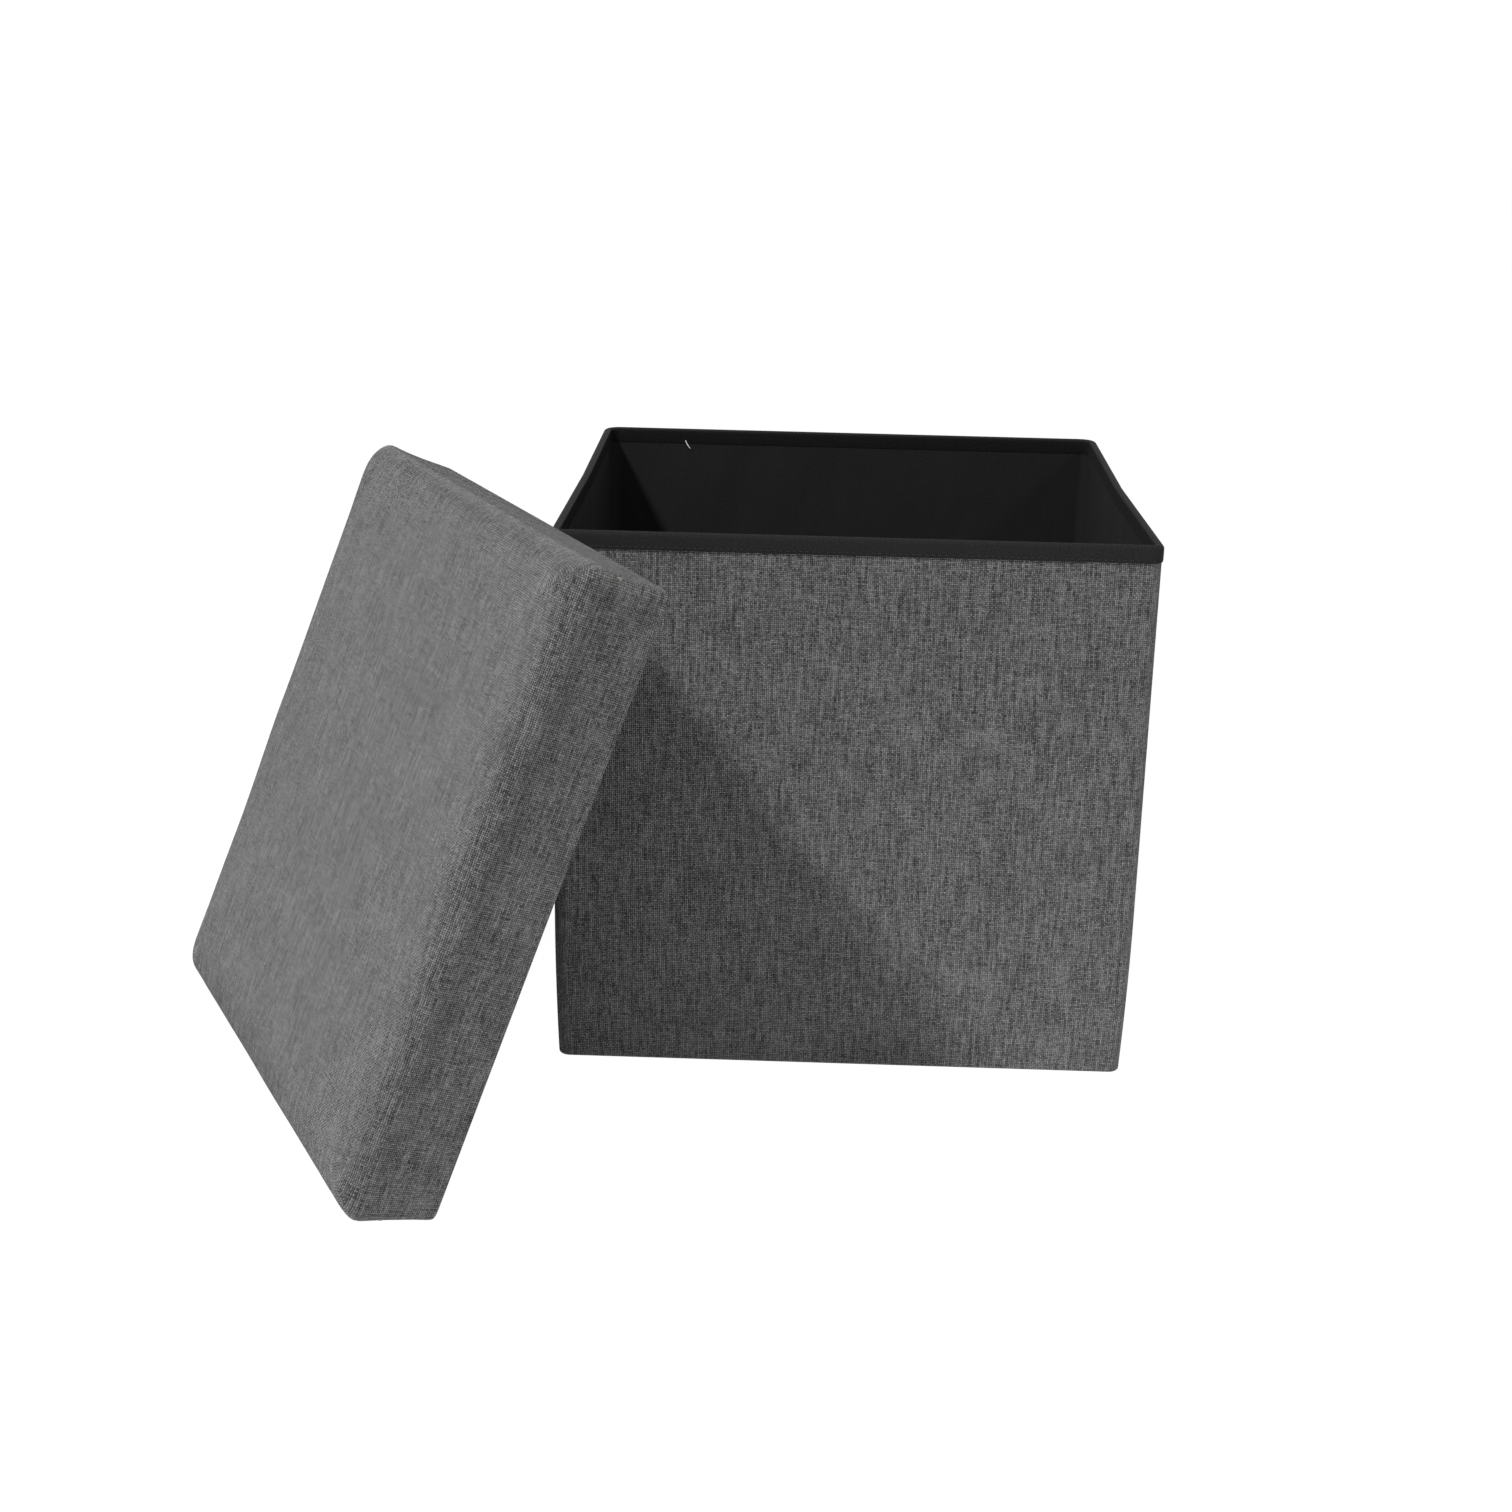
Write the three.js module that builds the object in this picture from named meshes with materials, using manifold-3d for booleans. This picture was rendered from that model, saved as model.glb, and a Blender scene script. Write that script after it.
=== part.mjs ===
// A fold-flat storage ottoman: a square fabric box with stiffened walls and its lift-off padded lid,
// which stands on the floor and leans on the box's front left rim corner.
// Millimetres, +Z up. The origin is the middle of the box's footprint, on the floor.
import * as THREE from "three";
import { mergeVertices } from "three/addons/utils/BufferGeometryUtils.js";
import Module from "manifold-3d";

const wasm = await Module();
wasm.setup();

// ---- the box ----
const boxSide = 380;
const boxHeight = 358;
const fabric = 0.8; // outer cover cloth
const wallBoard = 2.6; // grey board inside each wall
const lining = 0.6; // non-woven cloth inside the box
const gap = 0.3; // left between pieces that touch
const wall = fabric + gap + wallBoard + gap + lining;
const wallFoot = 5.3; // the walls' lower ends, just above the base panel
const half = boxSide / 2;
const inner = half - wall;
const boardEnd = half - 7; // the boards stop short of the cloth's round corners

// ---- the rim binding, a tape folded over each wall's top edge ----
const tape = 0.6;
const tapeDrop = 14;
const proud = gap + tape; // how far the tape stands out from the wall

// ---- the fold ----
const play = 0.4; // clearance between pieces that fold onto each other
const sideEnd = inner - proud - play; // the side walls' ends, clear of the tape in the corners
const panelTop = 4.8; // top of the base panel as it lies in the box
const panelFoot = 1.1;
const pivotBack = sideEnd - (panelTop - panelFoot) - play / 2; // rear corner hinges, the panel fits behind
const pivotFront = -(inner - proud) + play / 2; // front corner hinges
const crease = (pivotBack + pivotFront) / 2; // where each side wall folds in half

// ---- the base ----
const baseCloth = 0.8;
const hemTop = 4.9;
const panelCover = 0.6;
const panelHalf = sideEnd - gap / 2;

// ---- the lid ----
const lidSide = 400; // over the padded top
const lidDepth = 60; // rim to crown
const rimInset = 5.5; // the skirt stands in from the padded top's widest line
const skirtFabric = 0.6;
const skirtBoard = 1.6;
const skirtLining = 0.5;
const skirtTop = 30;
const skirtBoardEnd = 15; // the skirt's boards stop short of its round corners
const lidBoardFoot = 31;
const lidBoard = 3;
const lidBoardInset = 6; // keeps its square corners inside the padded top's round ones
const crownRadius = 12; // rounding over the padded edges
const lidCorner = 14; // corner radius in plan
const cushionSkin = 0.9;

// ---- how the lid leans: one rim edge on the floor, its open side on the box's rim corner ----
const lidTurn = 27.17; // degrees, the floor edge away from the box's left wall
const lidLean = 22.05; // degrees from upright, towards the box
const lidFoot = [-233.6, -430.0]; // the padded top's near lower corner, brought down to the rim plane

const cloth = (name, color) => new THREE.MeshStandardMaterial({ name, color, roughness: 0.95 });
const linen = cloth("linen", 0x6e6e6e);
const bindingTape = cloth("binding", 0x1b1b1b);
const nonWoven = cloth("lining", 0x161616);
const greyBoard = cloth("board", 0x8d857a);
const foam = cloth("foam", 0xe6dfc8);

const ottoman = new THREE.Group();

function addMesh(parent, name, geometry, material) {
  const mesh = new THREE.Mesh(geometry, material);
  mesh.name = name;
  parent.add(mesh);
  return mesh;
}

// A straight block between two corners.
function block(from, to) {
  const size = to.map((value, i) => value - from[i]);
  const middle = to.map((value, i) => (value + from[i]) / 2);
  return new THREE.BoxGeometry(...size).translate(...middle);
}

function solid(geometry) {
  const bare = geometry.index ? geometry.toNonIndexed() : geometry.clone();
  bare.deleteAttribute("normal");
  bare.deleteAttribute("uv");
  const merged = mergeVertices(bare, 1e-3);
  const mesh = new wasm.Mesh({
    numProp: 3,
    vertProperties: merged.attributes.position.array,
    triVerts: new Uint32Array(merged.index.array),
  });
  return new wasm.Manifold(mesh);
}

function fromSolid(made) {
  const mesh = made.getMesh();
  const geometry = new THREE.BufferGeometry();
  geometry.setAttribute("position", new THREE.BufferAttribute(mesh.vertProperties, 3));
  geometry.setIndex(new THREE.BufferAttribute(mesh.triVerts, 1));
  geometry.computeVertexNormals();
  return geometry;
}

// The tape's section is a channel upside down over the wall's top edge.
function bindingChannel(start, end) {
  const low = boxHeight - tapeDrop;
  const under = boxHeight - tape;
  const outline = [
    [-proud, low], [-gap, low], [-gap, under], [wall + gap, under],
    [wall + gap, low], [wall + proud, low], [wall + proud, boxHeight], [-proud, boxHeight],
  ];
  const shape = new THREE.Shape(outline.map(([x, y]) => new THREE.Vector2(x, y)));
  const channel = new THREE.ExtrudeGeometry(shape, { depth: end - start, bevelEnabled: false });
  // section x runs into the wall, section y runs up, and the length runs along the wall
  const along = new THREE.Matrix4().makeBasis(
    new THREE.Vector3(0, 1, 0), new THREE.Vector3(0, 0, 1), new THREE.Vector3(1, 0, 0),
  );
  return channel.applyMatrix4(along).translate(start, 0, 0);
}

// One wall panel: cover cloth, board, lining and rim tape, from start to end along the wall.
// The group's own X runs along the wall and its own Y runs from the outer face inwards.
function wallPanel(name, start, end, quarterTurns) {
  const turned = new THREE.Group();
  turned.rotation.z = (quarterTurns * Math.PI) / 2;
  const panel = new THREE.Group();
  panel.position.y = -half;
  turned.add(panel);
  ottoman.add(turned);
  const top = boxHeight - proud;
  let depth = 0;
  const layers = [["fabric", fabric, linen], ["board", wallBoard, greyBoard], ["lining", lining, nonWoven]];
  for (const [layer, thickness, material] of layers) {
    const reach = layer === "board" ? boardEnd : half;
    const [from, to] = [Math.max(start, -reach), Math.min(end, reach)];
    const slab = block([from, depth, wallFoot], [to, depth + thickness, top]);
    addMesh(panel, `${name}_${layer}`, slab, material);
    depth += thickness + gap;
  }
  addMesh(panel, `${name}_binding`, bindingChannel(start, end), bindingTape);
}

function walls() {
  wallPanel("front", -half, half, 0);
  wallPanel("back", -half, half, 2);
  wallPanel("right_front", -sideEnd, crease - play / 2, 1);
  wallPanel("right_rear", crease + play / 2, sideEnd, 1);
  wallPanel("left_rear", -sideEnd, -crease - play / 2, 3);
  wallPanel("left_front", -crease + play / 2, sideEnd, 3);
}

// The base cloth is a shallow tray: a sheet under the box with its edges turned up into the walls' hem.
function base() {
  const sheet = solid(block([-half, -half, 0], [half, half, hemTop]));
  const inside = half - fabric;
  const hollow = solid(block([-inside, -inside, baseCloth], [inside, inside, hemTop + 1]));
  addMesh(ottoman, "base_cloth", fromSolid(sheet.subtract(hollow)), linen);
  const boardTop = panelTop - panelCover - gap;
  const board = block([-panelHalf, -panelHalf, panelFoot], [panelHalf, sideEnd, boardTop]);
  addMesh(ottoman, "base_board", board, greyBoard);
  const cover = block([-panelHalf, -panelHalf, panelTop - panelCover], [panelHalf, sideEnd, panelTop]);
  addMesh(ottoman, "base_board_cover", cover, nonWoven);
}

// A square slab with round corners in plan and a round crown, from foot to top.
function cushion(inset, foot, top, crown) {
  const side = lidSide - 2 * inset - 2 * crown;
  const corner = Math.max(lidCorner - inset - crown, 0) + 0.01;
  const shape = new THREE.Shape();
  const edge = side / 2;
  shape.moveTo(-edge + corner, -edge);
  shape.lineTo(edge - corner, -edge);
  shape.absarc(edge - corner, -edge + corner, corner, -Math.PI / 2, 0, false);
  shape.lineTo(edge, edge - corner);
  shape.absarc(edge - corner, edge - corner, corner, 0, Math.PI / 2, false);
  shape.lineTo(-edge + corner, edge);
  shape.absarc(-edge + corner, edge - corner, corner, Math.PI / 2, Math.PI, false);
  shape.lineTo(-edge, -edge + corner);
  shape.absarc(-edge + corner, -edge + corner, corner, Math.PI, 1.5 * Math.PI, false);
  const pad = new THREE.ExtrudeGeometry(shape, {
    depth: 2 * lidDepth,
    bevelSize: crown,
    bevelThickness: crown,
    bevelSegments: 6,
    curveSegments: 3,
  });
  const middle = lidSide / 2;
  const placed = solid(pad.translate(middle, middle, top - crown - 2 * lidDepth));
  const keep = solid(block([-1, -1, foot], [lidSide + 1, lidSide + 1, top + 1]));
  return placed.intersect(keep);
}

// The skirt's four sides; each has cover cloth, board and lining, given from the outside in.
// Each layer: name, thickness, material, foot above the rim plane, and how near a board comes to the corner.
function skirt(lid) {
  const layers = [
    ["fabric", skirtFabric, linen, 0, 0],
    ["board", skirtBoard, greyBoard, proud, skirtBoardEnd],
    ["lining", skirtLining, nonWoven, proud, 0],
  ];
  let low = rimInset;
  for (const [layer, thickness, material, foot, corner] of layers) {
    const lowIn = low + thickness;
    const high = lidSide - low;
    const highIn = lidSide - lowIn;
    const across = [Math.max(low, corner), Math.min(high, lidSide - corner)];
    const between = [Math.max(lowIn + gap, corner), Math.min(highIn - gap, lidSide - corner)];
    const sides = {
      lower: [[across[0], low], [across[1], lowIn]],
      upper: [[across[0], highIn], [across[1], high]],
      far: [[low, between[0]], [lowIn, between[1]]],
      near: [[highIn, between[0]], [high, between[1]]],
    };
    for (const [side, [from, to]] of Object.entries(sides)) {
      const strip = block([...from, foot], [...to, skirtTop]);
      addMesh(lid, `lid_skirt_${layer}_${side}`, strip, material);
    }
    low = lowIn + gap;
  }
}

// The lid's own frame: X along the edge on the floor, Y up the lid, Z from the rim out to the crown.
function lidFrame() {
  const turn = THREE.MathUtils.degToRad(lidTurn);
  const lean = THREE.MathUtils.degToRad(lidLean);
  const along = new THREE.Vector3(-Math.sin(turn), Math.cos(turn), 0);
  const towardsBox = new THREE.Vector3(Math.cos(turn), Math.sin(turn), 0);
  const upright = new THREE.Vector3(0, 0, 1);
  const up = upright.clone().multiplyScalar(Math.cos(lean)).addScaledVector(towardsBox, Math.sin(lean));
  const out = upright.clone().multiplyScalar(Math.sin(lean)).addScaledVector(towardsBox, -Math.cos(lean));
  // the crown faces away from the box, so X is taken from far to near to keep the frame right-handed
  const frame = new THREE.Matrix4().makeBasis(along.clone().negate(), up, out);
  const start = new THREE.Vector3(lidFoot[0], lidFoot[1], -rimInset * Math.cos(lean));
  start.addScaledVector(along, lidSide);
  return frame.setPosition(start);
}

function leaningLid() {
  const lid = new THREE.Group();
  lid.applyMatrix4(lidFrame());
  ottoman.add(lid);
  skirt(lid);
  const clothEnd = lidSide - rimInset;
  const under = block([rimInset, rimInset, skirtTop + gap], [clothEnd, clothEnd, lidBoardFoot - gap]);
  addMesh(lid, "lid_underside_cloth", under, nonWoven);
  const boardTop = lidBoardFoot + lidBoard;
  const boardEnd = lidSide - lidBoardInset;
  const board = block([lidBoardInset, lidBoardInset, lidBoardFoot], [boardEnd, boardEnd, boardTop]);
  addMesh(lid, "lid_board", board, greyBoard);
  const pad = cushion(cushionSkin + gap, boardTop + gap, lidDepth - cushionSkin - gap, crownRadius - 1);
  addMesh(lid, "lid_foam", fromSolid(pad), foam);
  const outer = cushion(0, lidBoardFoot, lidDepth, crownRadius);
  const room = cushion(cushionSkin, lidBoardFoot - 1, lidDepth - cushionSkin, crownRadius - 1);
  addMesh(lid, "lid_cover", fromSolid(outer.subtract(room)), linen);
}

walls();
base();
leaningLid();

export default ottoman;
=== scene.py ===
# %% [markdown]
# # A fold-flat storage ottoman
# The ottoman is a square cloth box, stiffened with boards, and a padded lid that lifts off. The lid
# stands on the floor and leans on the box's front left rim corner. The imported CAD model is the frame: its
# boards and cloth sizes say where everything goes, and this script adds what the eye sees.

# %% Load the frame
import math
import random

import bmesh
import bpy
from mathutils import Matrix, Vector, noise


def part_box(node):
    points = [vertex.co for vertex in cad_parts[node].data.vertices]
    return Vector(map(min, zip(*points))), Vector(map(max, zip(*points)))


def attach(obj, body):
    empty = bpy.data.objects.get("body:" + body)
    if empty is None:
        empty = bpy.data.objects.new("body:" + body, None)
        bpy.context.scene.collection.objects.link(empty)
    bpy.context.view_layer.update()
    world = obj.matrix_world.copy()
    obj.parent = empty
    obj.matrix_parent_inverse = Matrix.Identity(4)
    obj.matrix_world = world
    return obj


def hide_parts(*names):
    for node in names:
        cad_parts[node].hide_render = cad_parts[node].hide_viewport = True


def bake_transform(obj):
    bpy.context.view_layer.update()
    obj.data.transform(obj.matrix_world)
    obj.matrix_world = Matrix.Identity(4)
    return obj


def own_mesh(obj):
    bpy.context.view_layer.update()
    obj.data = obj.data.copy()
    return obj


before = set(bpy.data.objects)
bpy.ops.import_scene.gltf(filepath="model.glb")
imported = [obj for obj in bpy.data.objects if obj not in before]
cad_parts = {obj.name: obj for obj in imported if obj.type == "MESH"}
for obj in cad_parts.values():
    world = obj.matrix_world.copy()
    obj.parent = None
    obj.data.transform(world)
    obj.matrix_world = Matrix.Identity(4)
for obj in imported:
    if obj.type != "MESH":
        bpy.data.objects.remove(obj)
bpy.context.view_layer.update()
scene = bpy.context.scene
random.seed(7)
MM = 0.001

# %% [markdown]
# ## Sizes
# Every size is read from the CAD nodes or is a named value here. The box's walls are described in a
# wall's own terms: a distance along the wall, a depth from its outer face inwards, and a height. One
# matrix per wall turns those into the object's frame, so all four walls share the same code.

# %% Sizes of the box
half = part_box("front_fabric")[1][0]
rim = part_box("front_binding")[1][2]
tape_drop = 11.4 * MM
wall_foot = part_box("front_fabric")[0][2]
hem_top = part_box("base_cloth")[1][2]
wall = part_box("front_lining")[1][1] + half
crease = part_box("right_front_fabric")[1][1]
corner_radius = {"front": 8 * MM, "back": 12 * MM}
cover_thickness = 0.8 * MM
lining_thickness = 0.6 * MM
crease_reach = 9 * MM
facet = 9 * MM
print("half", half, "rim", rim, "wall", wall, "crease", crease)


def corner_of(quarter):
    """The radius of the corner at a wall's far end, and how far the wall runs before it.

    The walls are counted in quarter turns: 0 front, 1 right, 2 back, 3 left.
    """
    radius = corner_radius["back" if quarter in (1, 2) else "front"]
    return radius, half - radius


def wall_matrix(quarter):
    """From a wall's own terms (along, depth, height) to the object's frame."""
    turn = Matrix.Rotation(quarter * math.pi / 2, 4, "Z")
    return turn @ Matrix.Translation((0, -half, 0))


# %% [markdown]
# ## How the box has settled
# A cloth box is never quite square. The side walls are creased for folding, so they lean in a little at
# the crease, and the cloth draws in near the floor. One function moves any point of the box by that, so
# the cloth, the boards and the tape stay together.

# %% Settle
crease_depth = {1: 3.0 * MM, -1: 1.6 * MM}
side_band = (0.165, 0.018)
foot_taper = 2.6 * MM
foot_reach = 0.11


def smooth(t):
    """Rises from 0 to 1 with a gentle start and end."""
    t = min(max(t, 0.0), 1.0)
    return t * t * (3 - 2 * t)


def settle(point):
    """Where a point of the square, upright box lies once the box has settled."""
    x, y, z = point
    side = 1 if x > 0 else -1
    on_side = smooth((abs(x) - side_band[0]) / side_band[1])
    behind = min(max((half - y) / (half - crease), 0.0), 1.0)
    ahead = min(max((y + half) / (crease + half), 0.0), 1.0)
    x -= side * crease_depth[side] * on_side * min(behind, ahead)
    foot = max(0.0, 1 - z / foot_reach) ** 2
    x -= x / half * foot_taper * foot
    return Vector((x, y, z))


# %% [markdown]
# ## Making a piece
# Each piece is drawn as a section and swept: straight along a wall, or spun a quarter turn round a
# corner. The ends are closed, the normals are made to point out, and the cloth's own coordinates are
# written to a UV map in metres, so that the weave runs on from one piece to the next.

# %% Helpers
def ring(bm, points, along):
    """A closed loop of edges through (depth, height) points at one place along the wall."""
    verts = [bm.verts.new((along, depth, height)) for depth, height in points]
    return [bm.edges.new((a, b)) for a, b in zip(verts, verts[1:] + verts[:1])]


def close_ends(bm):
    """Caps both ends of a sweep and turns all faces outwards."""
    open_edges = [e for e in bm.edges if len(e.link_faces) == 1]
    bmesh.ops.holes_fill(bm, edges=open_edges, sides=0)
    bmesh.ops.recalc_face_normals(bm, faces=bm.faces[:])


def write_cloth_uv(bm, quarter):
    """Cloth coordinates: the way round the box, and the height, in metres."""
    radius, straight = corner_of(quarter)
    layer = bm.loops.layers.uv.new("cloth")
    for face in bm.faces:
        for loop in face.loops:
            x, y, z = loop.vert.co
            turned = math.atan2(x - straight, radius - y) if x > straight else 0
            way = min(x, straight) + radius * turned
            loop[layer].uv = (way + quarter * 2 * half, z - y)


def sweep_straight(points, start, end, step):
    """Extrudes a section along the wall in steps of about the given length."""
    bm = bmesh.new()
    edges = ring(bm, points, start)
    count = max(1, round((end - start) / step))
    for _ in range(count):
        made = bmesh.ops.extrude_edge_only(bm, edges=edges)["geom"]
        edges = [g for g in made if isinstance(g, bmesh.types.BMEdge)]
        ends = [g for g in made if isinstance(g, bmesh.types.BMVert)]
        edges = [e for e in edges if e.verts[0] in ends and e.verts[1] in ends]
        bmesh.ops.translate(bm, vec=((end - start) / count, 0, 0), verts=ends)
    close_ends(bm)
    return bm


def sweep_corner(points, quarter, steps=12):
    """Spins a section a quarter turn round the corner at a wall's far end."""
    radius, straight = corner_of(quarter)
    bm = bmesh.new()
    edges = ring(bm, points, straight)
    bmesh.ops.spin(
        bm, geom=bm.verts[:] + edges, cent=(straight, radius, 0), axis=(0, 0, 1),
        angle=math.pi / 2, steps=steps, use_merge=False,
    )
    close_ends(bm)
    return bm


def write_flat_uv(bm):
    """Cloth coordinates of a level sheet: its own x and y, in metres."""
    layer = bm.loops.layers.uv.new("cloth")
    for face in bm.faces:
        for loop in face.loops:
            loop[layer].uv = loop.vert.co.xy


def thicken_up(bm, thickness):
    """Closes an open level sheet into a thin slab by copying its faces upwards."""
    made = bmesh.ops.extrude_face_region(bm, geom=bm.faces[:], use_keep_orig=True)["geom"]
    top = [g for g in made if isinstance(g, bmesh.types.BMVert)]
    bmesh.ops.translate(bm, vec=(0, 0, thickness), verts=top)
    bmesh.ops.recalc_face_normals(bm, faces=bm.faces[:])


def round_edges(bm, edges, radius, segments):
    bmesh.ops.bevel(
        bm, geom=edges, offset=radius, segments=segments, affect="EDGES", profile=0.5, material=-1,
    )


def join(bm, part):
    """Moves the mesh of one bmesh into another."""
    mesh = bpy.data.meshes.new("part")
    part.to_mesh(mesh)
    part.free()
    bm.from_mesh(mesh)
    bpy.data.meshes.remove(mesh)


def make_piece(bm, name, material, matrix=None, move=None):
    """Turns a bmesh into a named piece, with its place in its mesh."""
    if matrix is not None:
        bm.transform(matrix)
    if move is not None:
        for vert in bm.verts:
            vert.co = move(vert.co)
    # The tape's inner leg gets painted shade, a darker copy of the tape.
    if material.name == "binding_tape":
        paint_shade_inside(bm)
    mesh = bpy.data.meshes.new(name)
    bm.to_mesh(mesh)
    bm.free()
    mesh.materials.append(material)
    if material.name == "binding_tape":
        mesh.materials.append(tape_painted_shade)
    mesh.shade_smooth()
    piece = bpy.data.objects.new(name, mesh)
    scene.collection.objects.link(piece)
    return piece


def paint_shade_inside(bm):
    """Painted shade: the tape's faces that look into the box get a darker copy of the tape."""
    bm.normal_update()
    for face in bm.faces:
        middle = face.calc_center_median()
        outwards = middle.x * face.normal.x + middle.y * face.normal.y
        face.material_index = 1 if outwards < -0.05 and face.normal.z < 0.5 else 0


def soften(piece, angle=35):
    """Keeps real edges crisp and everything else smooth."""
    piece.data.set_sharp_from_angle(angle=math.radians(angle))


# %% [markdown]
# ## Linen-look cloth
# The cover cloth is a plain weave of uneven melange yarns. The node network counts yarns across and up
# the cloth coordinates, lets warp and weft pass over each other in turn, and gives every yarn its own
# light and dark stretches, which is what makes the fine upright streaks. The same height drives the bump,
# and lightens the colour on the yarn tops: painted shade in the gaps between yarns.
# An image of a weave would be quicker to set up, but it repeats, and this one never does.

# %% Weave nodes
class Nodes:
    """A small helper that chains shader nodes."""

    def __init__(self, material):
        material.use_nodes = True
        self.tree = material.node_tree
        self.shader = self.tree.nodes["Principled BSDF"]

    def add(self, kind, **inputs):
        node = self.tree.nodes.new(kind)
        for key, value in inputs.items():
            self.put(node.inputs[key], value)
        return node

    def put(self, socket, value):
        if isinstance(value, bpy.types.NodeSocket):
            self.tree.links.new(value, socket)
        else:
            socket.default_value = value

    def math(self, operation, *values):
        node = self.tree.nodes.new("ShaderNodeMath")
        node.operation = operation
        for socket, value in zip(node.inputs, values):
            self.put(socket, value)
        return node.outputs[0]

    def vector(self, x, y, z=0.0):
        node = self.tree.nodes.new("ShaderNodeCombineXYZ")
        for socket, value in zip(node.inputs, (x, y, z)):
            self.put(socket, value)
        return node.outputs[0]

    def noise(self, vector, scale, detail=2.0, roughness=0.5):
        node = self.add("ShaderNodeTexNoise", Vector=vector, Scale=scale)
        self.put(node.inputs["Detail"], detail)
        self.put(node.inputs["Roughness"], roughness)
        return node.outputs["Fac"]

    def ramp(self, value, stops):
        node = self.tree.nodes.new("ShaderNodeValToRGB")
        self.put(node.inputs[0], value)
        while len(node.color_ramp.elements) < len(stops):
            node.color_ramp.elements.new(0.5)
        for element, (place, grey) in zip(node.color_ramp.elements, stops):
            element.position = place
            element.color = (grey, grey, grey, 1) if isinstance(grey, float) else (*grey, 1)
        return node.outputs[0]

    def bump(self, height, distance, strength=1.0, before=None):
        node = self.add("ShaderNodeBump", Height=height, Distance=distance, Strength=strength)
        if before is not None:
            self.put(node.inputs["Normal"], before)
        return node.outputs[0]


def new_material(name, roughness, colour=(0.1, 0.1, 0.1)):
    material = bpy.data.materials.new(name)
    nodes = Nodes(material)
    nodes.shader.inputs["Roughness"].default_value = roughness
    nodes.shader.inputs["Base Color"].default_value = (*colour, 1)
    nodes.shader.inputs["Specular IOR Level"].default_value = 0.25
    return material, nodes


def cloth_axes(nodes, pitch):
    """The cloth coordinates, counted in pitches across and up."""
    uv = nodes.tree.nodes.new("ShaderNodeUVMap")
    uv.uv_map = "cloth"
    parts = nodes.add("ShaderNodeSeparateXYZ", Vector=uv.outputs[0])
    across = nodes.math("MULTIPLY", parts.outputs[0], 1 / pitch)
    up = nodes.math("MULTIPLY", parts.outputs[1], 1 / pitch)
    return across, up


def weave_height(nodes, across, up):
    """Heights of the warp (upright) and weft (level) yarns of a plain weave, in yarn counts."""
    column = nodes.math("FLOOR", across)
    row = nodes.math("FLOOR", up)
    warp_round = nodes.math("ABSOLUTE", nodes.math("SINE", nodes.math("MULTIPLY", across, math.pi)))
    weft_round = nodes.math("ABSOLUTE", nodes.math("SINE", nodes.math("MULTIPLY", up, math.pi)))
    warp_turn = nodes.math("SINE", nodes.math("MULTIPLY", nodes.math("ADD", up, column), math.pi))
    weft_turn = nodes.math("SINE", nodes.math("MULTIPLY", nodes.math("ADD", across, row), math.pi))
    warp = nodes.math("MULTIPLY", warp_round, nodes.math("MULTIPLY_ADD", warp_turn, 0.45, 0.55))
    weft = nodes.math("MULTIPLY", weft_round, nodes.math("MULTIPLY_ADD", weft_turn, -0.45, 0.55))
    return column, row, warp, weft


yarn_pitch = 1.26 * MM
yarn_depth = 1.15 * MM
unlike = 7.31


def linen_material(name, dark, light):
    """The weave. Each yarn's tone is noise far away from its neighbour's, by steps of unlike."""
    material, nodes = new_material(name, 0.92)
    across, up = cloth_axes(nodes, yarn_pitch)
    place = nodes.vector(across, up)
    wander = nodes.noise(place, 0.10, 2.0)
    across = nodes.math("MULTIPLY_ADD", wander, 1.2, across)
    up = nodes.math("MULTIPLY_ADD", nodes.noise(place, 0.13, 2.0), 1.0, up)
    column, row, warp, weft = weave_height(nodes, across, up)
    warp_stretch = nodes.math("MULTIPLY", up, 0.09)
    weft_stretch = nodes.math("MULTIPLY", across, 0.12)
    warp_seed = nodes.vector(nodes.math("MULTIPLY", column, unlike), warp_stretch)
    weft_seed = nodes.vector(weft_stretch, nodes.math("MULTIPLY", row, unlike), 4.0)
    warp_tone = nodes.noise(warp_seed, 1.0, 2.0)
    weft_tone = nodes.noise(weft_seed, 1.0, 2.0)
    over = nodes.math("GREATER_THAN", warp, weft)
    under = nodes.math("SUBTRACT", 1.0, over)
    warp_seen = nodes.math("MULTIPLY", warp_tone, over)
    weft_seen = nodes.math("MULTIPLY", weft_tone, under)
    tone = nodes.math("ADD", warp_seen, weft_seen)
    streak_stretch = nodes.math("MULTIPLY", up, 0.045)
    streak_seed = nodes.vector(nodes.math("MULTIPLY", across, 0.6), streak_stretch, 9.0)
    streak = nodes.noise(streak_seed, 1.0, 3.0)
    speckle_seed = nodes.vector(nodes.math("MULTIPLY", column, 3.7), nodes.math("MULTIPLY", row, 3.7))
    speckle = nodes.noise(speckle_seed, 1.0, 0.0)
    cloud = nodes.noise(place, 0.03, 2.0)
    height = nodes.math("MAXIMUM", warp, weft)
    value = nodes.math("MULTIPLY_ADD", tone, 0.8, nodes.math("MULTIPLY", streak, 0.55))
    value = nodes.math("MULTIPLY_ADD", speckle, 0.5, value)
    value = nodes.math("MULTIPLY_ADD", cloud, 0.15, value)
    # Painted shade in the weave: the colour lightens with yarn height, so the gaps between yarns are
    # darker.
    value = nodes.math("MULTIPLY_ADD", height, 0.45, value)
    colour = nodes.ramp(nodes.math("MULTIPLY", value, 0.5), [(0.52, dark), (0.80, light)])
    nodes.put(nodes.shader.inputs["Base Color"], colour)
    nodes.put(nodes.shader.inputs["Normal"], nodes.bump(height, yarn_depth))
    nodes.shader.inputs["Sheen Weight"].default_value = 0.15
    nodes.shader.inputs["Sheen Roughness"].default_value = 0.4
    return material


linen = linen_material("linen", 0.007, 0.180)
print("linen nodes", len(linen.node_tree.nodes))

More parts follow.
